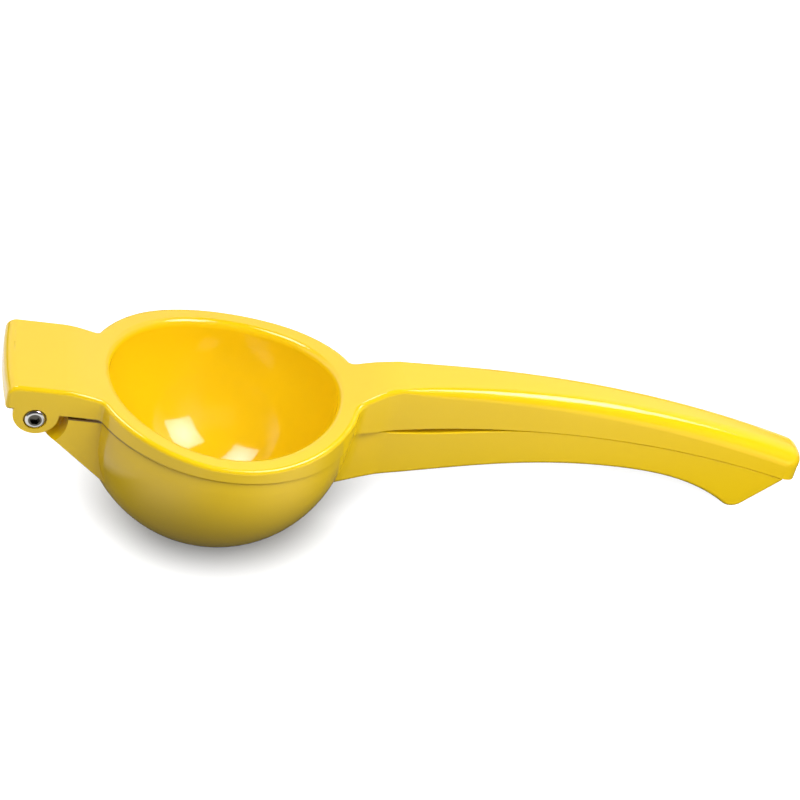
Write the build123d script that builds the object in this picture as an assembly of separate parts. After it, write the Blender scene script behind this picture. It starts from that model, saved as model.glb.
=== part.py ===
"""Hinged lemon squeezer: two enamelled aluminium castings on one pivot, closed, lying on a table.

Everything is built in the tool frame and laid on the table at the end. Tool frame: origin at the bowl's
centre on the plane where bowl and ring meet, +X towards the handles, +Z up through the plunger's mouth.
Table frame: resting pose, +X towards the handles, +Z up, origin under the middle of the closed tool.
"""

from build123d import *

import os
from math import acos, asin, atan2, cos, degrees, hypot, pi, radians, sin, sqrt, tan

# ---- driving dimensions, mm and degrees ----
parting_gap = 0.3  # air between the closed castings

bowl_radius = 37.4
bowl_wall = 2.7
bowl_side = 4.4  # straight side above the round bottom
drain_hole_radius = 2.0
drain_pitch = 8.0
drain_rings = 2

ring_overhang = 0.6  # how far the ring stands out past the bowl
rim_thickness = 3.9  # ring at its thinnest, over the middle of the bowl
rim_rise_hinge = 3.0  # how far the ring's top climbs towards the hinge
rim_rise_neck = 6.4  # and towards the handle
rim_edge_round = 1.1
lip_round = 2.0

plunger_gap = 1.0  # between the plunger's dome and the bowl's side
plunger_wall = 2.1
cup_centre_rise = 2.0  # the cup's round bottom starts this far above the parting plane

pivot_offset = 13.4  # from the ring's edge to the pivot
pivot_drop = 1.5  # from the parting plane down to the pivot
block_overrun = 9.0  # from the pivot to the hinge end
block_width = 33.0
block_height = 8.2
block_bulge = 0.8  # crown of the end face
block_end_round = 3.0  # where the top runs over into the end face
block_foot_round = 1.0
block_gap = 0.5  # air between the block and the bowl arm's root
block_inner_round = 2.0  # where the block's sides run into the ring
block_dip = 6.5  # the flat top starts to dip this far before the ring's edge
ear_thickness = 5.6

pivot_radius = 2.0
pivot_clearance = 0.05
knuckle_radius = 5.4
lug_radius = 6.15
lug_rise = 1.6  # the lug's centre above the pivot
lug_underside = 0.75  # height of the hinge end's lower edge
shoulder_radius = 8.8  # hollow in the bowl arm's root that the lugs turn in
ear_clearance = 0.3
pocket_clearance = 0.45

head_radius = 2.85
head_height = 1.6
head_recess = 1.2
head_clearance = 0.3
hex_across_flats = 2.5
hex_depth = 1.1
head_edge_round = 0.9
barrel_end_gap = 0.6
screw_radius = 1.5
screw_reach = 9.0
seat_clearance = 0.02  # pivot in the ears, screw in the barrel

root_slope = 38.9
keel_radius = 33.0  # the root's rounded underside, touching the knuckle

neck_length = 11.0  # from the ring's edge to where the handle keeps its own section
flare_length = 8.0  # from the ring's edge to where the handles start to widen towards it
flare_slope = 15.0
lower_flare_slope = 6.0
flare_round = 15.0
handle_end = 170.6
handle_width_neck = 15.0
handle_width_end = 12.2
neck_round = 4.0  # inner corners where the flare meets the ring
handle_apex_x = 86.0
handle_apex_z = 16.6
handle_top_radius = 320.0
handle_crown_start = 0.02  # how much the middle of the top stands above its edges
handle_crown_end = 0.5
handle_edge_end = 5.2  # rounding of the top's edges, which starts as the ring's
handle_nose_round = 5.5
handle_stations = 8  # sections that the upper handle is lofted through

seam_apex_x = 98.0
seam_apex_z = 5.3
seam_radius = 283.0
slot_offset = 6.0  # the lower handle stays level this far past the ring, so a slot opens under the upper one
slot_end = 92.0

under_sink = 9.4  # the lower handle starts this far inside the bowl's skin
under_start_drop = 21.0
under_start_slope = 0.33  # rise over run
under_neck_x = 53.0
under_neck_drop = 13.8
under_waist_x = 75.0
under_waist_drop = 8.8
under_apex_x = 114.0
under_apex_drop = 4.8
under_turn_x = 135.0
under_turn_drop = 7.1
toe_x = 149.5
toe_drop = 13.2
toe_slope = 32.0
toe_round = 4.5
toe_face_slope = 44.0
toe_face_end = 166.4  # where the toe's end face meets the seam
lower_edge_round = 1.0
lower_top_round = 0.35
lower_inset = 0.3  # how far the lower handle's flanks stand in from the upper one's
bowl_blend = 4.0  # between the lower handle and the bowl

channel_width = 6.6
channel_roof = 4.0  # metal left between the upper channel and the handle's top
channel_start = 58.0
upper_channel_end = 158.0
lower_channel_end = 140.0
lower_channel_depth = 6.0
channel_end_share = 0.98  # rounding of a channel's ends as a share of its half width
channel_overrun = 3.0  # how far a channel's cutter reaches out of the casting


# ---- values that follow from them ----
half_gap = parting_gap / 2
ring_radius = bowl_radius + ring_overhang
plunger_radius = bowl_radius - bowl_wall - plunger_gap
mouth_radius = plunger_radius - plunger_wall
pivot_x = -ring_radius - pivot_offset
pivot_z = -pivot_drop
block_length = block_overrun - pivot_x
block_flat_end = ring_radius + block_dip
handle_start = ring_radius + neck_length
flare_end = ring_radius + flare_length
slot_start = ring_radius + slot_offset
under_start_x = bowl_radius - under_sink
ear_inner = block_width / 2 - ear_thickness
tongue_half = ear_inner - ear_clearance
far = 300.0  # past the end of anything, for cutting bodies


def arc_height(x, apex_x, apex_z, radius):
    """Height at x of a wide arc that crests at its apex."""
    return apex_z - radius + sqrt(radius**2 - (x - apex_x) ** 2)


def handle_top(x):
    return arc_height(x, handle_apex_x, handle_apex_z, handle_top_radius)


def seam(x):
    return arc_height(x, seam_apex_x, seam_apex_z, seam_radius)


def handle_width(x):
    share = (x - handle_start) / (handle_end - handle_start)
    return handle_width_neck + share * (handle_width_end - handle_width_neck)


seam_root = seam_apex_x - sqrt(seam_radius**2 - (seam_radius - seam_apex_z) ** 2)


def side_slab(outline, half_width):
    """Solid with the given side view, as thick as asked each way across the tool."""
    return extrude(Plane.XZ * make_face(outline), half_width, both=True)


def plan_slab(sketch):
    """Solid with the given plan, deep enough to be trimmed by a side view."""
    return extrude(sketch, far, both=True)


def cross_pin(radius, length, middle_y=0.0, rise=0.0):
    """Cylinder across the tool on the pivot's line, or the given rise above it."""
    return Location((pivot_x, middle_y, pivot_z + rise), (90, 0, 0)) * Cylinder(radius, length)


def bounded_edges(faces, keep):
    """Edges that belong to only one of the faces, where keep(edge centre) holds."""
    edges = [edge for face in faces for edge in face.edges()]
    centres = [edge.center() for edge in edges]
    single = []
    for edge, centre in zip(edges, centres):
        copies = sum((centre - other).length < 1e-3 for other in centres)
        if copies == 1 and keep(centre):
            single.append(edge)
    return single


# ---- plans shared by the two castings ----
def flared_taper(start, end, slope, inset=0.0):
    """Plan of a handle from inside the ring outwards: it widens towards the ring from the flare's end."""
    half_start = handle_width(start) / 2 + (flare_end - start) * tan(radians(slope)) - inset
    half_flare = handle_width(flare_end) / 2 - inset
    half_end = handle_width(end) / 2 - inset
    one_side = [(start, half_start), (flare_end, half_flare), (end, half_end)]
    other_side = [(x, -y) for x, y in reversed(one_side)]
    plan = make_face(Polyline(*one_side, *other_side, close=True))
    return fillet([v for v in plan.vertices() if abs(v.X - flare_end) < 0.01], flare_round)


def ring_and_neck_plan():
    """The ring's disc with the start of the handle, which it meets in rounded inner corners."""
    root = ring_radius / 2
    plan = Circle(ring_radius) + flared_taper(root, handle_start, flare_slope)
    inner_corners = [v for v in plan.vertices() if root < v.X < ring_radius and abs(v.Y) < ring_radius / 2]
    return fillet(inner_corners, neck_round)


def block_plan():
    """Hinge block: square sides and a slightly crowned end face."""
    half = block_width / 2
    side_end = -block_length + block_bulge
    outline = [
        Line((0, -half), (side_end, -half)),
        ThreePointArc((side_end, -half), (-block_length, 0), (side_end, half)),
        Line((side_end, half), (0, half)),
        Line((0, half), (0, -half)),
    ]
    return make_face(outline)


# ---- upper casting ----
def rim_top(x):
    """Height of the ring's top: lowest over the bowl, climbing to both ends, more towards the handle."""
    share = x / ring_radius
    even = (rim_rise_neck + rim_rise_hinge) / 2
    odd = (rim_rise_neck - rim_rise_hinge) / 2
    return rim_thickness + even * share**2 + odd * share**3


def upper_side_view():
    """Side view of block, ring and neck, up to where the handle takes over."""
    top_slope = (handle_apex_x - handle_start) / handle_top_radius
    neck_top = handle_top(handle_start)
    neck_low = seam(handle_start) + half_gap
    over_ring = [share * ring_radius for share in (-0.9, -0.6, -0.3, 0, 0.3, 0.6, 0.9)]
    rim_points = [(x, rim_top(x)) for x in over_ring]
    dip = Spline(
        (-block_flat_end, block_height),
        *rim_points,
        (handle_start, neck_top),
        tangents=[(1, 0), (1, top_slope)],
    )
    return [
        Line((-far, lug_underside), (-far, block_height)),
        Line((-far, block_height), (-block_flat_end, block_height)),
        dip,
        Line((handle_start, neck_top), (handle_start, neck_low)),
        Line((handle_start, neck_low), (seam_root, half_gap)),
        Line((seam_root, half_gap), (-ring_radius, half_gap)),
        Line((-ring_radius, half_gap), (-ring_radius, block_gap)),
        Line((-ring_radius, block_gap), (pivot_x, block_gap)),
        Line((pivot_x, block_gap), (pivot_x, lug_underside)),
        Line((pivot_x, lug_underside), (-far, lug_underside)),
    ]


def upper_handle():
    """Tapered handle, lofted through sections whose top corners open out towards the nose."""
    sections = []
    for step in range(handle_stations):
        share = step / (handle_stations - 1)
        x = handle_start + share * (handle_end - handle_start)
        half = handle_width(x) / 2
        corner = rim_edge_round + sqrt(share) * (handle_edge_end - rim_edge_round)
        low = seam(x) + half_gap
        high = handle_top(x)
        crown = handle_crown_start + share * (handle_crown_end - handle_crown_start)
        top = ThreePointArc((-half, high - crown), (0, high), (half, high - crown))
        sides = Polyline((half, high - crown), (half, low), (-half, low), (-half, high - crown))
        section = make_face([top, sides])
        section = fillet(section.vertices().sort_by(Axis.Y)[-2:], corner)
        across = Plane(origin=(x, 0, 0), x_dir=(0, 1, 0), z_dir=(1, 0, 0))
        sections.append(across * section)
    handle = loft(sections)
    nose = handle.faces().sort_by(Axis.X)[-1]
    rounded = nose.edges().sort_by(Axis.Z)[1:]
    return fillet(rounded, handle_nose_round)


def dome(radius, centre_z, straight_top):
    """Round-bottomed plug: hemisphere below centre_z and a straight side up to straight_top."""
    ball = Location((0, 0, centre_z)) * Sphere(radius)
    side = Location((0, 0, (centre_z + straight_top) / 2)) * Cylinder(radius, straight_top - centre_z)
    lower_half = Location((0, 0, centre_z - far / 2)) * Box(far, far, far)
    return (ball & lower_half) + side


def hinge_pocket():
    """Room between the ears for the knuckle and the tongue."""
    left = pivot_x - knuckle_radius - pocket_clearance
    right = pivot_x + shoulder_radius
    roof = pivot_z + knuckle_radius + pocket_clearance
    depth = 4 * knuckle_radius
    place = Location(((left + right) / 2, 0, roof - depth / 2))
    return place * Box(right - left, 2 * ear_inner, depth)


def head_seat(side):
    """Counterbore for a pivot head in the ear on the given side."""
    middle = side * (block_width / 2 - head_recess + far / 2)
    return cross_pin(head_radius + head_clearance, far, middle)


def is_lip(edge):
    """True for an edge where the cup's wall meets the ring's top."""
    on_edge = edge.position_at(0.3)
    return on_edge.Z > rim_thickness / 2 and abs(hypot(on_edge.X, on_edge.Y) - mouth_radius) < 0.01


def is_end_edge(at, height):
    """True for the middle of an edge across the block's end face at the given height."""
    return at.X < -block_length + block_bulge and abs(at.Y) < 1 and abs(at.Z - height) < 0.01


def is_end_corner(at):
    """True for the middle of an edge round either side of the block's end face."""
    on_side = abs(abs(at.Y) - block_width / 2) < 0.01
    return on_side and at.X < -block_length + block_bulge + block_end_round and at.Z > lug_underside + 0.01


def build_plunger_arm():
    plan = ring_and_neck_plan() + block_plan()
    on_sides = [v for v in plan.vertices() if abs(abs(v.Y) - block_width / 2) < 0.01]
    plan = fillet([v for v in on_sides if -ring_radius < v.X < 0], block_inner_round)
    body = plan_slab(plan) & side_slab(upper_side_view(), far)
    end_top = body.edges().filter_by(lambda edge: is_end_edge(edge.center(), block_height))
    body = fillet(end_top, block_end_round)
    top_faces = [face for face in body.faces() if face.normal_at().Z > 0.8]
    top_edges = bounded_edges(top_faces, lambda at: at.X < handle_start - 0.01 and abs(at.Y) > 1)
    corners = body.edges().filter_by(lambda edge: is_end_corner(edge.center()))
    body = fillet(top_edges + corners, rim_edge_round)

    lip_top = rim_thickness + rim_rise_neck + lip_round
    plug = dome(plunger_radius, 0, half_gap + rim_thickness / 2)
    cup = dome(mouth_radius, cup_centre_rise, 2 * lip_top)
    body = body + plug - cup
    body = fillet([edge for edge in body.edges() if is_lip(edge)], lip_round)
    body = body + upper_handle() - upper_channel()

    for side in (-1, 1):
        lug = cross_pin(lug_radius, ear_thickness, side * (block_width - ear_thickness) / 2, lug_rise)
        body = body + lug
    end_foot = body.edges().filter_by(lambda edge: is_end_edge(edge.center(), lug_underside))
    body = fillet(end_foot, block_foot_round)
    body = body - hinge_pocket() - cross_pin(pivot_radius + seat_clearance, far)
    for side in (-1, 1):
        body = body - head_seat(side)
    return body


# ---- lower casting ----
def from_pivot(distance, angle):
    """Point of the side view at a distance and an angle in degrees from the pivot."""
    return (pivot_x + distance * cos(radians(angle)), pivot_z + distance * sin(radians(angle)))


def knuckle_tangent(target):
    """Where a line from the target point touches the knuckle from above."""
    dx = target[0] - pivot_x
    dz = target[1] - pivot_z
    spread = degrees(acos(knuckle_radius / hypot(dx, dz)))
    return from_pivot(knuckle_radius, degrees(atan2(dz, dx)) + spread)


def keel():
    """Long cylinder whose lowest line touches the knuckle and runs down to the bowl."""
    axis_x, axis_z = from_pivot(keel_radius - knuckle_radius, 90 - root_slope)
    return Location((axis_x, 0, axis_z)) * (Rotation(0, 90 + root_slope, 0) * Cylinder(keel_radius, far))


def hinge_root():
    """Full-width root hollowed for the lugs, with the narrower tongue and its knuckle."""
    inside = -bowl_radius / 2
    lowest = from_pivot(knuckle_radius, -90 - root_slope)
    end_fall = (inside - lowest[0]) * tan(radians(root_slope))
    underside = [(inside, lowest[1] - end_fall), lowest]
    wedge = Polyline((pivot_x, -half_gap), (inside, -half_gap), *underside, (pivot_x, pivot_z), close=True)
    root = side_slab(wedge, block_width / 2) - cross_pin(shoulder_radius, far)
    top = (pivot_x + shoulder_radius, -half_gap)
    web = Polyline((pivot_x, pivot_z), knuckle_tangent(top), top, (inside, -half_gap), *underside, close=True)
    return (root + side_slab(web, tongue_half)) & keel()


def toe_tip():
    """Where the underside and the toe's end face would meet without the rounding."""
    fall = tan(radians(toe_slope))
    rise = tan(radians(toe_face_slope))
    face_z = seam(toe_face_end) - half_gap
    x = (rise * toe_face_end - face_z + fall * toe_x - toe_drop) / (rise + fall)
    return (x, face_z - rise * (toe_face_end - x))


def lower_side_view():
    """Side view of the lower handle, from inside the bowl's wall to the toe."""
    slot_slope = (seam_apex_x - slot_end) / seam_radius
    slot_top = (slot_end, seam(slot_end) - half_gap)
    face_top = (toe_face_end, seam(toe_face_end) - half_gap)
    middle_x = (slot_end + toe_face_end) / 2
    tip = toe_tip()
    start = (under_start_x, -under_start_drop)
    toe = (toe_x, -toe_drop)
    outline = [
        Line(start, (under_start_x, -half_gap)),
        Line((under_start_x, -half_gap), (slot_start, -half_gap)),
        Spline((slot_start, -half_gap), slot_top, tangents=[(1, 0), (1, slot_slope)]),
        ThreePointArc(slot_top, (middle_x, seam(middle_x) - half_gap), face_top),
        Line(face_top, tip),
        Line(tip, toe),
        Spline(
            toe,
            (under_turn_x, -under_turn_drop),
            (under_apex_x, -under_apex_drop),
            (under_waist_x, -under_waist_drop),
            (under_neck_x, -under_neck_drop),
            start,
            tangents=[(-cos(radians(toe_slope)), sin(radians(toe_slope))), (-1, -under_start_slope)],
        ),
    ]
    face = make_face(outline)
    return fillet([corner for corner in face.vertices() if abs(corner.X - tip[0]) < 0.01], toe_round).edges()


def lower_handle():
    """Tapered lower handle with rounded underside edges, still square along its top."""
    plan = flared_taper(under_start_x, handle_end, lower_flare_slope, lower_inset)
    body = plan_slab(plan) & side_slab(lower_side_view(), far)
    undersides = [face for face in body.faces() if face.normal_at().Z < -0.5]
    return fillet(bounded_edges(undersides, is_flank_edge), lower_edge_round)


def is_flank_edge(at):
    return at.X > under_start_x + 0.01 and abs(at.Y) > 1


def from_bowl_skin(point):
    """Distance of a point from the bowl's outer surface."""
    below = min(0, point.Z + bowl_side)
    return abs(sqrt(point.X**2 + point.Y**2 + below**2) - bowl_radius)


def is_bowl_seam(edge):
    """True for an edge where the handle's flanks and underside run into the bowl."""
    on_skin = all(from_bowl_skin(edge.position_at(share)) < 0.02 for share in (0.1, 0.5, 0.9))
    at = edge.center()
    return on_skin and at.X > under_start_x and abs(at.Y) < handle_width_neck and at.Z < -2 * half_gap


def drain_holes():
    """Upright holes through the bottom of the bowl: one in the middle and rings of six, twelve and so on."""
    spots = [(0, 0)]
    for ring in range(1, drain_rings + 1):
        count = 6 * ring
        for k in range(count):
            angle = 2 * pi * k / count
            spots.append((ring * drain_pitch * cos(angle), ring * drain_pitch * sin(angle)))
    drill_middle = -bowl_side - bowl_radius
    return [Location((x, y, drill_middle)) * Cylinder(drain_hole_radius, bowl_radius) for x, y in spots]


def build_bowl_arm():
    body = dome(bowl_radius, -bowl_side, -half_gap) + lower_handle()
    body = fillet([edge for edge in body.edges() if is_bowl_seam(edge)], bowl_blend)
    tops = [face for face in body.faces() if face.normal_at().Z > 0.8]
    body = fillet(bounded_edges(tops, lambda at: at.X < toe_face_end - 0.01), lower_top_round)
    body = body + hinge_root() + cross_pin(knuckle_radius, 2 * tongue_half)
    body = body - dome(bowl_radius - bowl_wall, -bowl_side, rim_thickness)
    body = body - cross_pin(pivot_radius + pivot_clearance, far) - lower_channel()
    for hole in drain_holes():
        body = body - hole
    return body


# ---- channels that lighten the handles, on the faces that meet ----
def channel(low, high, end):
    """Slot along the middle of a handle between two heights, each a function of x."""
    middle = (channel_start + end) / 2
    outline = [
        ThreePointArc(*[(x, low(x)) for x in (channel_start, middle, end)]),
        Line((end, low(end)), (end, high(end))),
        ThreePointArc(*[(x, high(x)) for x in (end, middle, channel_start)]),
        Line((channel_start, high(channel_start)), (channel_start, low(channel_start))),
    ]
    slot = side_slab(outline, channel_width / 2)
    return fillet(slot.edges().filter_by(Axis.Z), channel_end_share * channel_width / 2)


def upper_channel():
    def floor(x):
        return seam(x) - channel_overrun

    def roof(x):
        return handle_top(x) - channel_roof

    return channel(floor, roof, upper_channel_end)


def lower_channel():
    def floor(x):
        return seam(x) - lower_channel_depth

    def roof(x):
        return seam(x) + channel_overrun

    return channel(floor, roof, lower_channel_end)


# ---- pivot hardware ----
def socket_head(side):
    """Domed head with a hexagon socket, seated in the counterbore of one ear."""
    seat_y = side * (block_width / 2 - head_recess)
    top_y = seat_y + side * head_height
    head = cross_pin(head_radius, head_height, (seat_y + top_y) / 2)
    rim = [e for e in head.edges() if abs(e.center().Y - top_y) < 0.01]
    head = fillet(rim, head_edge_round)
    face = Plane(origin=(pivot_x, top_y, pivot_z), x_dir=(1, 0, 0), z_dir=(0, side, 0))
    socket = face * RegularPolygon(hex_across_flats / 2, 6, major_radius=False)
    return head - extrude(socket, -hex_depth)


def seat_to_seat():
    return block_width - 2 * head_recess


def build_pivot_barrel():
    """Headed sleeve through both ears, bored from its far end for the screw."""
    length = seat_to_seat() - barrel_end_gap
    start = -seat_to_seat() / 2
    sleeve = cross_pin(pivot_radius, length, start + length / 2)
    bore_depth = screw_reach + barrel_end_gap
    bore = cross_pin(screw_radius + seat_clearance, bore_depth, start + length - bore_depth / 2)
    return sleeve - bore + socket_head(-1)


def build_pivot_screw():
    """Screw that closes the barrel from the other ear."""
    shank = cross_pin(screw_radius, screw_reach, seat_to_seat() / 2 - screw_reach / 2)
    return shank + socket_head(1)


# ---- laying the closed tool on the table ----
def toe_arc_centre():
    """Centre of the rounding at the toe, in the side view."""
    tip_x, tip_z = toe_tip()
    under_angle = pi - radians(toe_slope)
    face_angle = radians(toe_face_slope)
    bisector = (under_angle + face_angle) / 2
    away = toe_round / sin((under_angle - face_angle) / 2)
    return (tip_x + away * cos(bisector), tip_z + away * sin(bisector))


def rest_tilt():
    """Angle that brings the bowl's bottom and the toe onto one level, handle end down."""
    x, z = toe_arc_centre()
    drop = -z - bowl_side
    return degrees(asin((bowl_radius - toe_round) / hypot(x, drop)) - atan2(drop, x))


def lay_on_table(parts):
    tilt = rest_tilt()
    lift = bowl_side * cos(radians(tilt)) + bowl_radius
    tilted = {name: Location((0, 0, lift)) * (Rotation(0, tilt, 0) * part) for name, part in parts.items()}
    boxes = [part.bounding_box() for part in tilted.values()]
    middle = (min(box.min.X for box in boxes) + max(box.max.X for box in boxes)) / 2
    print(f"tilt {tilt:.4f} degrees, lift {lift:.4f}, shift {-middle:.4f}")
    return {name: Location((-middle, 0, 0)) * part for name, part in tilted.items()}


def main():
    parts = {
        "bowl_arm": build_bowl_arm(),
        "plunger_arm": build_plunger_arm(),
        "pivot_barrel": build_pivot_barrel(),
        "pivot_screw": build_pivot_screw(),
    }
    os.makedirs("parts", exist_ok=True)
    for name, part in lay_on_table(parts).items():
        export_step(part, f"parts/{name}.step")


main()
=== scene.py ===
import math

import bpy
from mathutils import Matrix, Vector


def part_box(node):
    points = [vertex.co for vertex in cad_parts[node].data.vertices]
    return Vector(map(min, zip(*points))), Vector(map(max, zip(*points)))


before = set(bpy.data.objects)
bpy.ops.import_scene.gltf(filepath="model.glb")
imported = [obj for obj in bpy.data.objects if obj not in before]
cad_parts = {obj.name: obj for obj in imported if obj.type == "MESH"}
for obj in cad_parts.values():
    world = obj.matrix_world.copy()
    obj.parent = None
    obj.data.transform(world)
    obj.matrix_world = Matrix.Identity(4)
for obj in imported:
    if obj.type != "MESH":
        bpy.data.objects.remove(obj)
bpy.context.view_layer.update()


class Wire:
    # A socket of a node. Sums, differences and products of number wires add their Math nodes.
    def __init__(self, graph, node, output=0):
        self.graph = graph
        self.node = node
        self.output = output

    def out(self, name):
        return Wire(self.graph, self.node, name)

    def maths(self, operation, first, second=0.0):
        return self.graph.add("ShaderNodeMath", {"operation": operation}, {0: first, 1: second})

    def atLeast(self, other):
        return self.maths("MAXIMUM", self, other)

    def __abs__(self):
        return self.maths("ABSOLUTE", self)

    def __neg__(self):
        return self.maths("MULTIPLY", self, -1.0)

    def __add__(self, other):
        return self.maths("ADD", self, other)

    def __radd__(self, other):
        return self.maths("ADD", other, self)

    def __sub__(self, other):
        return self.maths("SUBTRACT", self, other)

    def __rsub__(self, other):
        return self.maths("SUBTRACT", other, self)

    def __mul__(self, other):
        return self.maths("MULTIPLY", self, other)

    def __rmul__(self, other):
        return self.maths("MULTIPLY", other, self)


class Graph:
    # The nodes of one material, world or lamp.
    def __init__(self, tree):
        self.tree = tree
        tree.nodes.clear()

    def add(self, kind, settings=None, sockets=None):
        node = self.tree.nodes.new(kind)
        for name, value in (settings or {}).items():
            setattr(node, name, value)
        for name, value in (sockets or {}).items():
            if isinstance(value, Wire):
                self.tree.links.new(value.node.outputs[value.output], node.inputs[name])
            else:
                node.inputs[name].default_value = value
        return Wire(self, node)

    def vectorMaths(self, operation, *vectors):
        return self.add("ShaderNodeVectorMath", {"operation": operation}, dict(enumerate(vectors)))

    def split(self, vector):
        return self.add("ShaderNodeSeparateXYZ", {}, {"Vector": vector})

    def distance(self, place, centre, scale=(1, 1, 1)):
        # a scale of 0 leaves an axis out, and one above 1 makes it count more
        away = self.vectorMaths("SUBTRACT", place, centre)
        return self.vectorMaths("LENGTH", self.vectorMaths("MULTIPLY", away, scale)).out("Value")

    def ramp(self, value, ends, low, high, shape="SMOOTHSTEP"):
        # low up to the first end, high from the second one on
        sockets = {"Value": value, 1: ends[0], 2: ends[1], 3: low, 4: high}
        return self.add("ShaderNodeMapRange", {"interpolation_type": shape}, sockets)

    def noise(self, place, size, detail):
        return self.add("ShaderNodeTexNoise", {}, {"Vector": place, "Scale": 1 / size, "Detail": detail})

    def mixColours(self, share, first, second):
        return self.add("ShaderNodeMix", {"data_type": "RGBA"}, {0: share, 6: first, 7: second}).out(2)


def newMaterial(name):
    material = bpy.data.materials.new(name)
    material.use_nodes = True
    return material, Graph(material.node_tree)


noiseMiddle = 0.5                            # what a noise gives on average

# Painted shade: the coat is painted dark on the outer edges along the seam between the arms, at the
# hinge end only, where the gap between them lies in shadow.
paintedSeamShadeLook = {
    "colour": (0.12, 0.055, 0.001, 1),
    "middle": (-0.0545, 0.0, 0.04173),       # of the bowl, at the height of the seam
    "lean": 10.3122,                         # degrees by which the seam falls towards the handles' end
    "height": (0.00038, 0.00070),            # above or below the seam, where the dark fades out
    "round": (0.0369, 0.0371),               # from the bowl's middle, where it begins
    "side": (0.0153, 0.0156),                # from the tool's middle plane, where it begins
    "hingeEnd": (-0.0980, -0.0970),          # along x, where it begins
    "bowlEnd": (-0.094, -0.064),             # and where it fades out
}


def paintedSeamShadeShare(graph, place):
    look = paintedSeamShadeLook
    lean = math.radians(look["lean"])
    up = (math.sin(lean), 0.0, math.cos(lean))
    away = graph.vectorMaths("SUBTRACT", place, look["middle"])
    height = abs(graph.vectorMaths("DOT_PRODUCT", away, up).out("Value"))
    parts = graph.split(place)

    share = graph.ramp(height, look["height"], 1.0, 0.0)
    share = share * graph.ramp(graph.distance(place, look["middle"]), look["round"], 0.0, 1.0)
    share = share * graph.ramp(abs(parts.out("Y")), look["side"], 0.0, 1.0)
    share = share * graph.ramp(parts.out("X"), look["hingeEnd"], 0.0, 1.0)
    return share * graph.ramp(parts.out("X"), look["bowlEnd"], 1.0, 0.0)


enamelLook = {
    "colour": (0.88, 0.59, 0.006, 1),
    "deepColour": (0.84, 0.54, 0.004, 1),    # where the coat lies thicker
    "deepShare": 0.35,
    "cloudSize": 0.035,
    "cloudDetail": 2.0,
    "cloudEnds": (0.35, 0.75),
    "roughness": 0.09,
    "unevenness": 0.03,                      # of the roughness
    "dustSize": 0.0007,
    "dustDetail": 2.0,
    "peelSize": 0.0022,
    "peelDetail": 1.0,
    "peelHeight": 0.000012,
    "peelStrength": 1.0,
    "ior": 1.5,
}


def makeEnamel():
    look = enamelLook
    material, graph = newMaterial("yellow_enamel")
    place = graph.add("ShaderNodeTexCoord").out("Object")
    clouds = graph.noise(place, look["cloudSize"], look["cloudDetail"])
    peel = graph.noise(place, look["peelSize"], look["peelDetail"])
    dust = graph.noise(place, look["dustSize"], look["dustDetail"])
    thick = graph.ramp(clouds, look["cloudEnds"], 0.0, look["deepShare"], "LINEAR")
    colour = graph.mixColours(thick, look["colour"], look["deepColour"])
    # painted shade along the seam at the hinge end
    colour = graph.mixColours(paintedSeamShadeShare(graph, place), colour, paintedSeamShadeLook["colour"])
    uneven = (dust - noiseMiddle) + (clouds - noiseMiddle)
    bump = graph.add("ShaderNodeBump", {}, {
        "Height": peel,
        "Distance": look["peelHeight"],
        "Strength": look["peelStrength"],
    })
    skin = graph.add("ShaderNodeBsdfPrincipled", {}, {
        "Base Color": colour,
        "Roughness": look["roughness"] + look["unevenness"] * uneven,
        "Normal": bump,
        "IOR": look["ior"],
    })
    graph.add("ShaderNodeOutputMaterial", {}, {"Surface": skin})
    return material


steelLook = {
    "colour": (0.62, 0.62, 0.60, 1),
    "paleColour": (0.74, 0.74, 0.72, 1),
    "roughness": 0.2,
    "unevenness": 0.16,                      # of the roughness
    "grainSize": 0.0004,
    "grainDetail": 3.0,
    "grainHeight": 0.00001,
    "grainStrength": 0.6,
    "socketShadeColour": (0.10, 0.095, 0.08, 1),  # painted shade: the plating is painted dark in and about the hex sockets, as if the sockets were wider and in shadow
    "socketShadeEdge": (0.0017, 0.0020),          # from the pivot's axis, where the dark fades out
}
pinLow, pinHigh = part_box("pivot_barrel")
pivotMiddle = (Vector(pinLow) + Vector(pinHigh)) / 2
aboutPivot = (1, 0, 1)                       # the pivot's axis runs along y


def makeSteel():
    look = steelLook
    material, graph = newMaterial("plated_steel")
    place = graph.add("ShaderNodeTexCoord").out("Object")
    grain = graph.noise(place, look["grainSize"], look["grainDetail"])
    fromAxis = graph.distance(place, pivotMiddle, aboutPivot)
    # painted shade in and about the hex sockets
    socket = graph.ramp(fromAxis, look["socketShadeEdge"], 1.0, 0.0)
    colour = graph.mixColours(grain, look["colour"], look["paleColour"])
    colour = graph.mixColours(socket, colour, look["socketShadeColour"])
    bump = graph.add("ShaderNodeBump", {}, {
        "Height": grain,
        "Distance": look["grainHeight"],
        "Strength": look["grainStrength"],
    })
    skin = graph.add("ShaderNodeBsdfPrincipled", {}, {
        "Base Color": colour,
        "Metallic": 1.0,
        "Roughness": look["roughness"] + look["unevenness"] * (grain - noiseMiddle),
        "Normal": bump,
    })
    graph.add("ShaderNodeOutputMaterial", {}, {"Surface": skin})
    return material


enamel = makeEnamel()
steel = makeSteel()
finishes = {"bowl_arm": enamel, "plunger_arm": enamel, "pivot_barrel": steel, "pivot_screw": steel}
for name, finish in finishes.items():
    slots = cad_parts[name].data.materials
    slots.clear()
    slots.append(finish)
print("finishes made")


white = (1, 1, 1, 1)
black = (0, 0, 0, 1)
bowlFoot = Vector((-0.054, 0.0, 0.0))        # where the bowl stands
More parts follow.
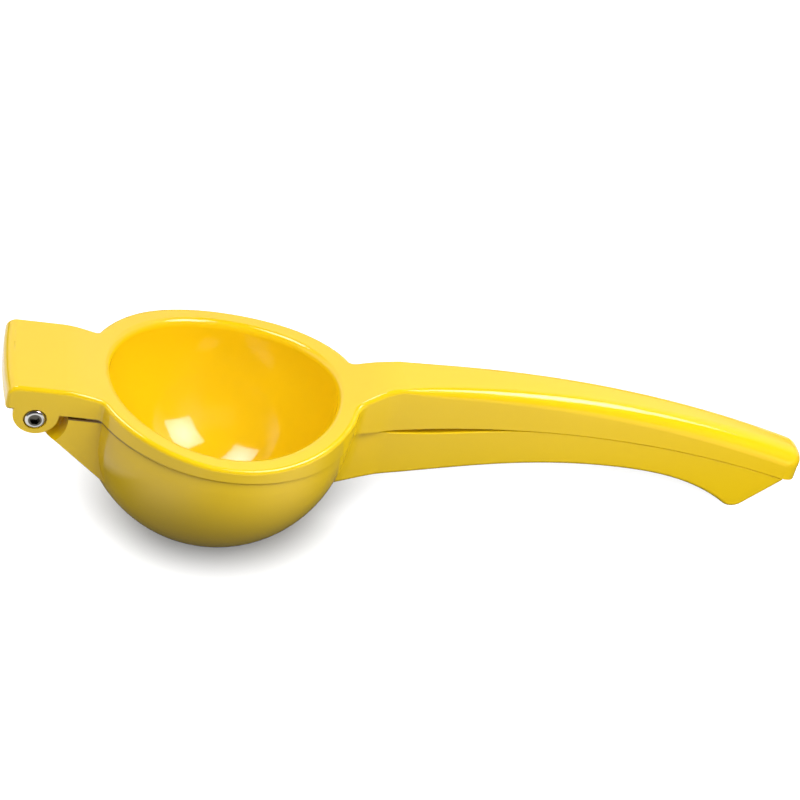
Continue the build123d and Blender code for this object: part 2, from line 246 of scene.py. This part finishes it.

# The eye sees a white sheet with the tool's shadow. Gloss sees the same sheet as a glow, with painted
# shade that dims it close to the tool.
floorLook = {
    "size": 6.0,
    "seenColour": (0.25, 0.25, 0.25, 1),
    "bounceColour": (0.03, 0.03, 0.03, 1),   # little of it comes back onto the tool
    "lift": 0.75,                            # keeps the shadow pale to the eye,
    "liftRound": (0.018, 0.055),             # but for the one close about the bowl's foot
    "gloss": 1.05,
    "dim": 0.1,                              # share of the gloss that is left right under the tool
    "dimFront": (0.010, 0.065),              # where it ends, in front of the tool's axis,
    "dimBack": (0.015, 0.035),               # behind it
    "dimLeft": (0.115, 0.135),               # and beyond the hinge
    "shadeFromFoot": (0.0, -0.045, 0.0),     # painted shade of the bowl dims an oval patch in front of its foot,
    "shadeShape": (2, 1, 0),                 # half as wide along x as along y
    "shadeRound": (0.015, 0.110),
    "shadeDim": 0.4,
}
alongFloor = (1, 1, 0)


def floorLift(graph, place):
    fromFoot = graph.distance(place, bowlFoot, alongFloor)
    return graph.ramp(fromFoot, floorLook["liftRound"], 0.0, floorLook["lift"])


def floorGloss(graph, place):
    look = floorLook
    parts = graph.split(place)
    front = graph.ramp(-parts.out("Y"), look["dimFront"], look["dim"], 1.0)
    back = graph.ramp(parts.out("Y"), look["dimBack"], look["dim"], 1.0)
    left = graph.ramp(-parts.out("X"), look["dimLeft"], look["dim"], 1.0)
    clear = front.atLeast(back).atLeast(left)
    shadeMiddle = bowlFoot + Vector(look["shadeFromFoot"])
    fromShade = graph.distance(place, shadeMiddle, look["shadeShape"])
    return look["gloss"] * clear * graph.ramp(fromShade, look["shadeRound"], look["shadeDim"], 1.0)


def makeFloor():
    look = floorLook
    half = look["size"] / 2
    mesh = bpy.data.meshes.new("floor")
    corners = [(-half, -half, 0), (half, -half, 0), (half, half, 0), (-half, half, 0)]
    mesh.from_pydata(corners, [], [(0, 1, 2, 3)])
    floor = bpy.data.objects.new("floor", mesh)
    bpy.context.scene.collection.objects.link(floor)

    material, graph = newMaterial("floor_paper")
    path = graph.add("ShaderNodeLightPath")
    place = graph.add("ShaderNodeNewGeometry").out("Position")
    glossy = path.out("Is Glossy Ray")
    colour = graph.mixColours(path.out("Is Diffuse Ray"), look["seenColour"], look["bounceColour"])
    colour = graph.mixColours(glossy, colour, black)
    paper = graph.add("ShaderNodeBsdfDiffuse", {}, {"Color": colour})
    strength = floorLift(graph, place) * path.out("Is Camera Ray") + floorGloss(graph, place) * glossy
    glow = graph.add("ShaderNodeEmission", {}, {"Color": white, "Strength": strength})
    both = graph.add("ShaderNodeAddShader", {}, {0: paper, 1: glow})
    graph.add("ShaderNodeOutputMaterial", {}, {"Surface": both})
    mesh.materials.append(material)
    return floor


worldLook = {
    "light": 0.02,                           # what the sky gives to matt colour; the lamps give the rest
    "wall": 1.3,                             # what gloss sees behind the tool
    "dark": 0.06,                            # and what it sees in front of it and overhead
    "wallFoot": (0.08, 0.30),                # sine of the elevation where the bright wall begins
    "wallTop": (0.60, 0.80),                 # and where it fades again
    "wallSide": (-0.35, 0.25),               # how far to the back a direction has to point to meet it
}


def makeWorld():
    look = worldLook
    world = bpy.data.worlds.new("studio")
    bpy.context.scene.world = world
    world.use_nodes = True
    graph = Graph(world.node_tree)
    path = graph.add("ShaderNodeLightPath")
    parts = graph.split(graph.add("ShaderNodeTexCoord").out("Generated"))
    above = graph.ramp(parts.out("Z"), look["wallFoot"], 0.0, 1.0)
    below = graph.ramp(parts.out("Z"), look["wallTop"], 1.0, 0.0)
    behind = graph.ramp(parts.out("Y"), look["wallSide"], 0.0, 1.0)
    room = look["dark"] + (look["wall"] - look["dark"]) * (above * below * behind)
    seen = room + path.out("Is Camera Ray") * (1 - room)
    bounced = path.out("Is Diffuse Ray")
    strength = seen * (1 - bounced) + look["light"] * bounced
    sky = graph.add("ShaderNodeBackground", {}, {"Color": white, "Strength": strength})
    graph.add("ShaderNodeOutputWorld", {}, {"Surface": sky})


# These light the matt colour and don't show in the gloss. Side is in metres.
fillLamps = {
    "key": {"place": (0.15, -0.20, 0.35), "side": 0.20, "radiance": 6.2},
    "left_top_fill": {"place": (-0.15, -0.74, 1.34), "side": 0.60, "radiance": 4.4},
    "middle_top_fill": {"place": (0.24, -0.70, 1.34), "side": 0.60, "radiance": 2.1},
    "right_top_fill": {"place": (0.55, -0.48, 1.34), "side": 0.60, "radiance": 3.7},
    "handle_fill": {"place": (0.28, -0.18, 0.06), "side": 0.20, "radiance": 3.6},
    "front_low_fill": {"place": (0.10, -0.20, 0.12), "side": 0.20, "radiance": 0.9},
    "left_front_fill": {"place": (-0.30, -0.15, 0.10), "side": 0.20, "radiance": 1.7},
    "left_low_fill": {"place": (-1.41, 0.51, 0.30), "side": 0.60, "radiance": 1.4},
    "left_back_fill": {"place": (-1.17, 0.42, 0.90), "side": 0.60, "radiance": 5.3},
    "back_top_fill": {"place": (-0.40, 0.65, 1.34), "side": 0.60, "radiance": 0.7},
    "right_back_fill": {"place": (1.26, 0.74, 0.30), "side": 0.60, "radiance": 1.0},
    "back_low_fill": {"place": (0.10, 1.45, 0.25), "side": 0.60, "radiance": 5.0},
}

# These show in the gloss alone. They turn about their own axis, in degrees.
softboxes = {
    "right_softbox": {"place": (0.476, -0.070, 0.764), "side": 0.48, "turn": 45.0, "radiance": 15.0},
    "left_softbox": {"place": (-0.260, 0.304, 0.870), "side": 0.40, "turn": 12.0, "radiance": 13.0},
}
lampAim = bowlFoot + Vector((0.0, 0.0, 0.042))

# A softbox is brightest in the middle of its cloth. Places on the cloth run from 0 to 1.
clothLook = {
    "colour": (1.0, 0.81, 1.0, 1),
    "edge": 0.45,                            # brightness at its corners
    "middle": (0.5, 0.5, 0.0),
    "corner": math.sqrt(0.5),                # from the middle
}

# The floor has a sun of its own, which reaches nothing else.
floorSun = {
    "from": (-0.03, -0.69, 0.72),            # the way towards the sun
    "spread": 60.0,                          # degrees
    "strength": 16.5,
}


def reach(lamp, floor, onFloor):
    # either the floor alone is lit or all but the floor
    lit = bpy.data.collections.new(lamp.name + "_reach")
    lit.objects.link(floor)
    lamp.light_linking.receiver_collection = lit
    lit.collection_objects[0].light_linking.link_state = "INCLUDE" if onFloor else "EXCLUDE"


def makeLamp(name, spec, floor, glossy):
    data = bpy.data.lights.new(name, "AREA")
    data.shape = "SQUARE"
    data.size = spec["side"]
    data.energy = spec["radiance"] * math.pi * data.size**2   # an area lamp shows power / (area * pi)
    lamp = bpy.data.objects.new(name, data)
    bpy.context.scene.collection.objects.link(lamp)
    place = Vector(spec["place"])
    back = (place - lampAim).normalized()
    side = Vector((0, 0, 1)).cross(back).normalized()
    turn = math.radians(spec.get("turn", 0.0))
    right = math.cos(turn) * side + math.sin(turn) * back.cross(side)
    axes = Matrix((right, back.cross(right), back)).transposed()
    lamp.matrix_world = Matrix.Translation(place) @ axes.to_4x4()
    lamp.visible_camera = False
    lamp.visible_diffuse = not glossy
    lamp.visible_glossy = glossy
    if glossy:
        hangCloth(data)
    reach(lamp, floor, False)


def hangCloth(data):
    look = clothLook
    data.use_nodes = True
    graph = Graph(data.node_tree)
    across = graph.add("ShaderNodeNewGeometry").out("Parametric")
    cloth = graph.ramp(graph.distance(across, look["middle"]), (0.0, look["corner"]), 1.0, look["edge"])
    glow = graph.add("ShaderNodeEmission", {}, {"Color": look["colour"], "Strength": cloth})
    graph.add("ShaderNodeOutputLight", {}, {"Surface": glow})


def makeFloorSun(floor):
    spec = floorSun
    data = bpy.data.lights.new("floor_sun", "SUN")
    data.angle = math.radians(spec["spread"])
    data.energy = spec["strength"]
    sun = bpy.data.objects.new("floor_sun", data)
    bpy.context.scene.collection.objects.link(sun)
    sun.rotation_euler = Vector(spec["from"]).to_track_quat("Z", "Y").to_euler()
    reach(sun, floor, True)


# Angles in degrees, lens and sensor in millimetres.
cameraSpec = {
    "place": (-0.105744, -0.577656, 0.462800),
    "azimuth": -9.936,                       # about the upright, from straight in front
    "tilt": 54.137,                          # up from looking straight down
    "roll": 3.518,                           # about its own axis
    "lens": 117.0,
    "sensor": 36.0,
    "nearest": 0.01,                         # what is closer isn't drawn
}


def makeCamera():
    spec = cameraSpec
    data = bpy.data.cameras.new("camera")
    data.lens = spec["lens"]
    data.sensor_width = spec["sensor"]
    data.clip_start = spec["nearest"]
    camera = bpy.data.objects.new("camera", data)
    bpy.context.scene.collection.objects.link(camera)
    azimuth = Matrix.Rotation(math.radians(spec["azimuth"]), 4, "Z")
    tilt = Matrix.Rotation(math.radians(spec["tilt"]), 4, "X")
    roll = Matrix.Rotation(math.radians(spec["roll"]), 4, "Z")
    camera.matrix_world = Matrix.Translation(spec["place"]) @ azimuth @ tilt @ roll
    bpy.context.scene.camera = camera


paperFloor = makeFloor()
makeWorld()
makeFloorSun(paperFloor)
for name, spec in fillLamps.items():
    makeLamp(name, spec, paperFloor, False)
for name, spec in softboxes.items():
    makeLamp(name, spec, paperFloor, True)
makeCamera()
bpy.context.scene.view_settings.view_transform = "Standard"
print("floor, lamps and camera set")
